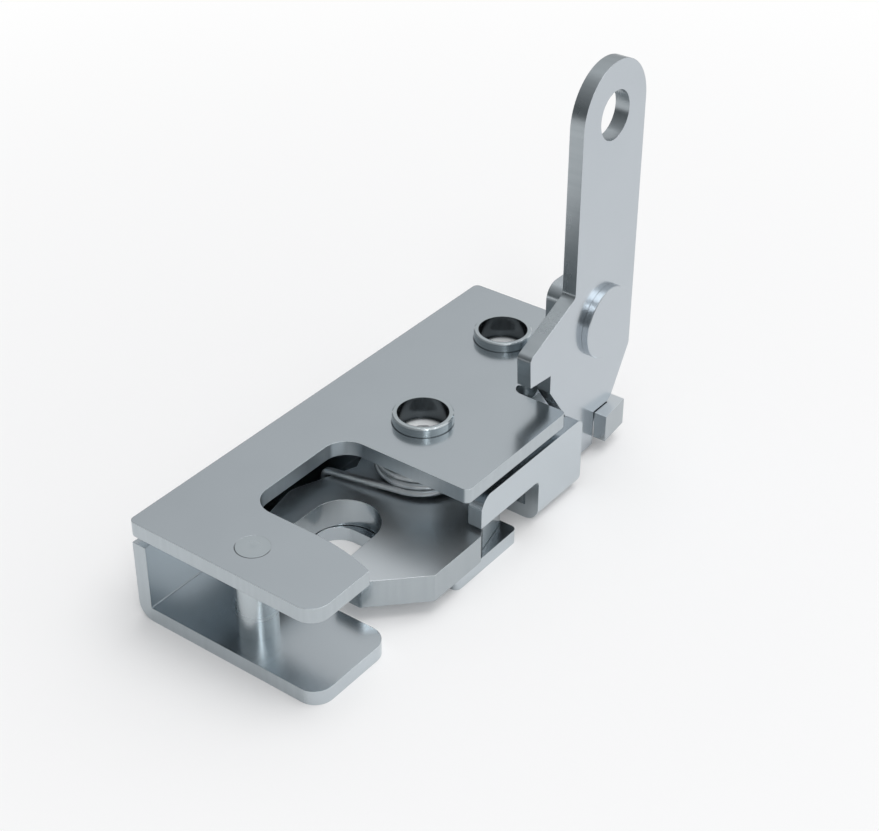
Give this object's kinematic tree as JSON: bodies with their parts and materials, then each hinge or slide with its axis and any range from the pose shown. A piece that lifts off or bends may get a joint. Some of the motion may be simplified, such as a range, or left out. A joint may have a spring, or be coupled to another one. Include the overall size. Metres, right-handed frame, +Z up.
{
  "type": "rotary lever latch",
  "caption": "Compact rotary latch in plated steel: a forked rotor in a slotted sheet housing, held by a pivoted trigger that an upright lever with an eye releases.",
  "frame": {"origin": "on the front sleeve's axis at the underside of the floor sheet", "axes": "+Z up along the sleeves, +Y from the striker end to the back, +X out of the striker slot's mouth"},
  "size_m": [0.0285, 0.0693, 0.0558],
  "materials": {
    "housing_sheet": "zinc plated, satin",
    "lever_sheet": "zinc plated, satin",
    "leaf_steel": "zinc plated, satin",
    "turned_steel": "zinc plated, turned",
    "spring_wire": "zinc plated, drawn wire"
  },
  "bodies": {
    "housing": {"top_plate": "housing_sheet", "bottom_plate": "housing_sheet", "front_post": "turned_steel", "front_bushing": "turned_steel", "rear_bushing": "turned_steel", "lever_rivet": "turned_steel", "rotor_spring": "spring_wire", "trigger_spring": "spring_wire"},
    "rotor": {"rotor": "leaf_steel"},
    "trigger": {"trigger": "leaf_steel"},
    "lever": {"release_lever": "lever_sheet"}
  },
  "joints": [
    {"name": "rotor_turn", "type": "hinge", "parent": "housing", "child": "rotor", "pos_m": [0, 0, 0.00405], "axis": [0, 0, 1], "range_deg": [0, 48], "deforming": ["rotor_spring"]},
    {"name": "trigger_turn", "type": "hinge", "parent": "housing", "child": "trigger", "pos_m": [-0.0035, 0.02225, 0.00405], "axis": [0, 0, 1], "range_deg": [0, 10], "stiffness_Nm_per_rad": 0.01, "springref_deg": -5.73, "deforming": ["trigger_spring"]},
    {"name": "lever_turn", "type": "hinge", "parent": "housing", "child": "lever", "pos_m": [0.0089, 0.02545, 0.02005], "axis": [1, 0, 0], "range_deg": [0, 7.5]}
  ],
  "couplings": [
    {"joint": "trigger_turn", "follows": "rotor_turn", "ratio": 0.20833},
    {"joint": "lever_turn", "follows": "rotor_turn", "ratio": 0.15625}
  ]
}
